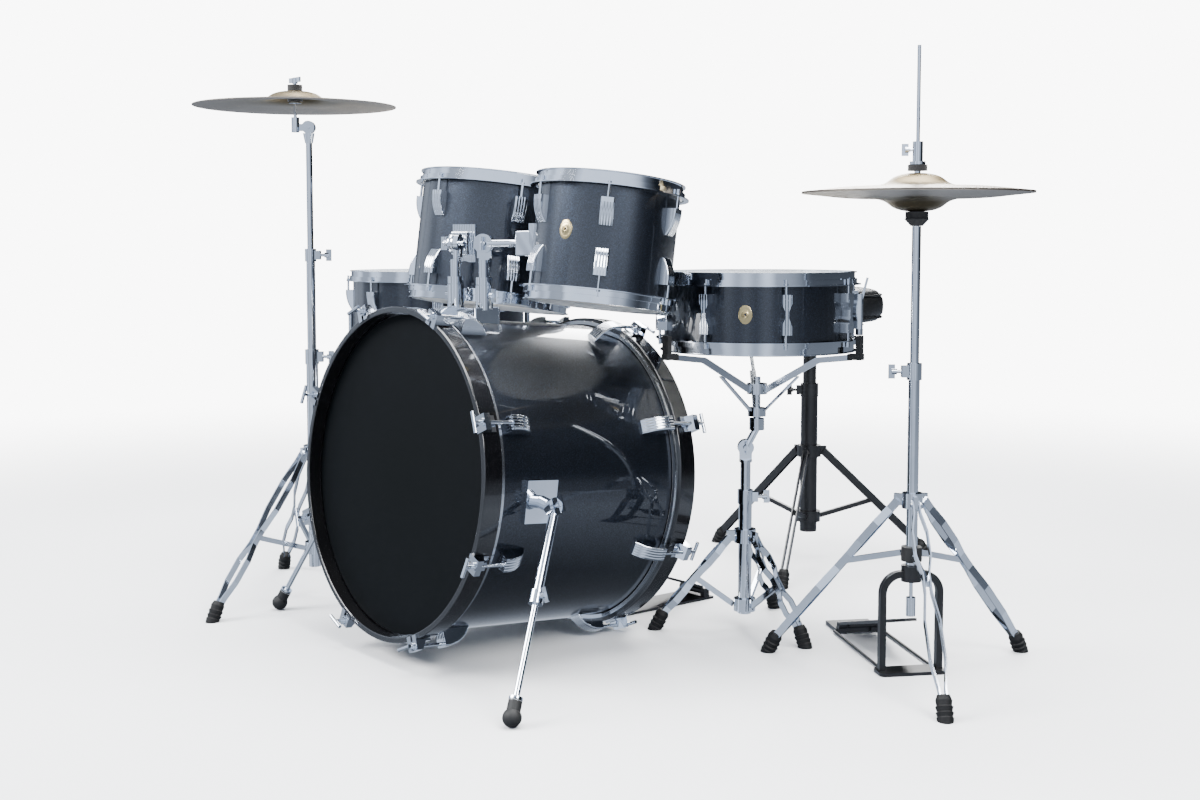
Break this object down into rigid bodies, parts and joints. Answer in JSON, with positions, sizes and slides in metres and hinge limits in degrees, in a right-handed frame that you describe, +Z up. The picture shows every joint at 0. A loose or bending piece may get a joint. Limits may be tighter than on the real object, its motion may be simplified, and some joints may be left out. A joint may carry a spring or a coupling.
{
  "type": "acoustic drum kit",
  "caption": "Acoustic drum kit: bass drum with pedal, rack toms, floor tom, snare on a basket stand, hi-hat, crash cymbal and a round throne, on stands that adjust and pedals that work.",
  "frame": {"origin": "centre of the kit's bounding box, on the floor", "axes": "+Z up, the bass drum's front head faces -Y, the player sits towards +Y and the hi-hat stands towards +X"},
  "size_m": [1.816, 1.581, 1.062],
  "materials": {
    "shell_wrap": "gloss black sparkle wrap over a wooden shell",
    "hoop_lacquer": "gloss black lacquer",
    "drum_head": "satin polyester film, dark on the bass drum and clear or coated on the others",
    "chrome_plate": "polished chrome plate",
    "black_paint": "semi-gloss black powder coat",
    "cymbal_bronze": "lathed, satin",
    "felt": "pressed black felt",
    "rubber": "matte moulded rubber",
    "seat_vinyl": "black grained vinyl",
    "snare_wire_steel": "bright drawn wire"
  },
  "bodies": {
    "kit_base": {"bass_shell": "shell_wrap", "bass_hoops": "hoop_lacquer", "bass_heads": "drum_head", "bass_lugs": "chrome_plate", "bass_claws": "chrome_plate", "bass_spur_brackets": "chrome_plate", "bass_pedal_frame": "black_paint", "tom_mount_block": "chrome_plate", "floor_tom_shell": "shell_wrap", "floor_tom_rims": "chrome_plate", "floor_tom_heads": "drum_head", "floor_tom_lugs": "chrome_plate", "crash_stand_tripod": "chrome_plate", "snare_stand_tripod": "chrome_plate", "hihat_stand_tripod": "chrome_plate", "hihat_pedal_frame": "black_paint", "throne_tripod": "black_paint", "stand_feet": "rubber"},
    "spur_left_leg": {"spur_left_leg": "chrome_plate"},
    "spur_left_rod": {"spur_left_rod": "chrome_plate"},
    "spur_right_leg": {"spur_right_leg": "chrome_plate"},
    "spur_right_rod": {"spur_right_rod": "chrome_plate"},
    "tom_left_post": {"tom_left_post": "chrome_plate"},
    "tom_left": {"tom_left_shell": "shell_wrap", "tom_left_rims": "chrome_plate", "tom_left_heads": "drum_head", "tom_left_lugs": "chrome_plate"},
    "tom_right_post": {"tom_right_post": "chrome_plate"},
    "tom_right": {"tom_right_shell": "shell_wrap", "tom_right_rims": "chrome_plate", "tom_right_heads": "drum_head", "tom_right_lugs": "chrome_plate"},
    "floor_tom_leg_1": {"floor_tom_leg_1": "chrome_plate"},
    "floor_tom_leg_2": {"floor_tom_leg_2": "chrome_plate"},
    "floor_tom_leg_3": {"floor_tom_leg_3": "chrome_plate"},
    "snare_stand_tube": {"snare_stand_tube": "chrome_plate"},
    "snare_basket": {"snare_basket": "chrome_plate"},
    "snare_drum": {"snare_shell": "shell_wrap", "snare_rims": "chrome_plate", "snare_heads": "drum_head", "snare_lugs": "chrome_plate", "snare_wires": "snare_wire_steel"},
    "snare_strainer_lever": {"snare_strainer_lever": "chrome_plate"},
    "hihat_tube": {"hihat_upper_tube": "chrome_plate", "hihat_bottom_cymbal": "cymbal_bronze"},
    "hihat_rod": {"hihat_pull_rod": "chrome_plate", "hihat_felts": "felt", "hihat_top_cymbal": "cymbal_bronze"},
    "hihat_footboard": {"hihat_footboard": "black_paint"},
    "crash_tube_mid": {"crash_tube_mid": "chrome_plate"},
    "crash_tube_top": {"crash_tube_top": "chrome_plate"},
    "crash_arm": {"crash_tilter": "chrome_plate", "crash_felts": "felt"},
    "crash_cymbal": {"crash_cymbal": "cymbal_bronze"},
    "throne_post": {"throne_post": "chrome_plate"},
    "throne_seat": {"throne_seat_plate": "chrome_plate", "throne_cushion": "seat_vinyl"},
    "pedal_footboard": {"pedal_footboard": "black_paint"},
    "pedal_beater": {"pedal_beater": "black_paint"},
    "pedal_chain": {"pedal_chain": "chrome_plate"}
  },
  "joints": [
    {"name": "spur_left_fold", "type": "hinge", "parent": "kit_base", "child": "spur_left_leg", "pos_m": [-0.26446, -0.52574, 0.30137], "axis": [-0.9241, 0, 0.3822], "range_deg": [0, 60]},
    {"name": "spur_left_extend", "type": "slide", "parent": "spur_left_leg", "child": "spur_left_rod", "axis": [-0.3619, -0.3213, -0.8751], "range_m": [-0.028, 0.04]},
    {"name": "spur_right_fold", "type": "hinge", "parent": "kit_base", "child": "spur_right_leg", "pos_m": [0.37866, -0.52574, 0.30137], "axis": [-0.9241, 0, -0.3822], "range_deg": [0, 60]},
    {"name": "spur_right_extend", "type": "slide", "parent": "spur_right_leg", "child": "spur_right_rod", "axis": [0.3327, -0.4921, -0.8045], "range_m": [-0.028, 0.04]},
    {"name": "tom_left_swivel", "type": "hinge", "parent": "kit_base", "child": "tom_left_post", "pos_m": [0.0121, -0.4709, 0.65], "axis": [0, 0, 1], "range_deg": [0, 25]},
    {"name": "tom_left_tilt", "type": "hinge", "parent": "tom_left_post", "child": "tom_left", "pos_m": [0.0121, -0.4709, 0.728], "axis": [0.8217, 0.57, 0], "range_deg": [0, 20]},
    {"name": "tom_right_swivel", "type": "hinge", "parent": "kit_base", "child": "tom_right_post", "pos_m": [0.1021, -0.4709, 0.65], "axis": [0, 0, 1], "range_deg": [-25, 0]},
    {"name": "tom_right_tilt", "type": "hinge", "parent": "tom_right_post", "child": "tom_right", "pos_m": [0.1021, -0.4709, 0.728], "axis": [0.6569, -0.754, 0], "range_deg": [0, 20]},
    {"name": "floor_tom_leg_1_slide", "type": "slide", "parent": "kit_base", "child": "floor_tom_leg_1", "axis": [0, 0, 1], "range_m": [0, 0.15]},
    {"name": "floor_tom_leg_2_slide", "type": "slide", "parent": "kit_base", "child": "floor_tom_leg_2", "axis": [0, 0, 1], "range_m": [0, 0.15]},
    {"name": "floor_tom_leg_3_slide", "type": "slide", "parent": "kit_base", "child": "floor_tom_leg_3", "axis": [0, 0, 1], "range_m": [0, 0.15]},
    {"name": "snare_stand_height", "type": "slide", "parent": "kit_base", "child": "snare_stand_tube", "axis": [0, 0, 1], "range_m": [-0.015, 0.01]},
    {"name": "snare_basket_tilt", "type": "hinge", "parent": "snare_stand_tube", "child": "snare_basket", "pos_m": [0.3011, -0.0129, 0.345], "axis": [0.7727, -0.6347, 0], "range_deg": [-8, 0]},
    {"name": "snare_lift", "type": "slide", "parent": "snare_basket", "child": "snare_drum", "axis": [0, 0, 1], "range_m": [0, 0.05]},
    {"name": "snare_strainer_throw", "type": "hinge", "parent": "snare_drum", "child": "snare_strainer_lever", "pos_m": [0.46404, 0.11816, 0.627], "axis": [-0.6088, 0.7934, 0], "range_deg": [0, 80]},
    {"name": "hihat_height", "type": "slide", "parent": "kit_base", "child": "hihat_tube", "axis": [0, 0, 1], "range_m": [-0.03, 0]},
    {"name": "hihat_open", "type": "slide", "parent": "kit_base", "child": "hihat_rod", "axis": [0, 0, 1], "range_m": [0, 0.025]},
    {"name": "hihat_footboard_press", "type": "hinge", "parent": "kit_base", "child": "hihat_footboard", "pos_m": [0.4652, 0.1241, 0.016], "axis": [-0.5, -0.866, 0], "range_deg": [0, 5.6]},
    {"name": "crash_height_lower", "type": "slide", "parent": "kit_base", "child": "crash_tube_mid", "axis": [0, 0, 1], "range_m": [-0.1, 0.08]},
    {"name": "crash_height_upper", "type": "slide", "parent": "crash_tube_mid", "child": "crash_tube_top", "axis": [0, 0, 1], "range_m": [-0.1, 0.08]},
    {"name": "crash_tilt", "type": "hinge", "parent": "crash_tube_top", "child": "crash_arm", "pos_m": [-0.4539, -0.5129, 0.962], "axis": [0.7727, -0.6347, 0], "range_deg": [-15, 15]},
    {"name": "crash_spin", "type": "hinge", "parent": "crash_arm", "child": "crash_cymbal", "pos_m": [-0.47104, -0.53376, 1.003], "axis": [0, 0, 1], "continuous": true},
    {"name": "throne_height", "type": "slide", "parent": "kit_base", "child": "throne_post", "axis": [0, 0, 1], "range_m": [-0.05, 0.06]},
    {"name": "throne_spin", "type": "hinge", "parent": "throne_post", "child": "throne_seat", "pos_m": [-0.0299, 0.5211, 0.545], "axis": [0, 0, 1], "continuous": true},
    {"name": "beater_swing", "type": "hinge", "parent": "kit_base", "child": "pedal_beater", "pos_m": [0.0571, -0.1659, 0.15], "axis": [1, 0, 0], "range_deg": [0, 40], "stiffness_Nm_per_rad": 0.5, "springref_deg": -28.65},
    {"name": "pedal_footboard_press", "type": "hinge", "parent": "kit_base", "child": "pedal_footboard", "pos_m": [0.0571, 0.0841, 0.016], "axis": [1, 0, 0], "range_deg": [0, 9.5]},
    {"name": "pedal_chain_pull", "type": "slide", "parent": "kit_base", "child": "pedal_chain", "axis": [0, 0, -1], "range_m": [0, 0.037]}
  ],
  "couplings": [
    {"joint": "hihat_footboard_press", "follows": "hihat_open", "rad_per_m": 3.817},
    {"joint": "pedal_footboard_press", "follows": "beater_swing", "ratio": 0.23},
    {"joint": "pedal_chain_pull", "follows": "beater_swing", "m_per_rad": 0.0516}
  ]
}
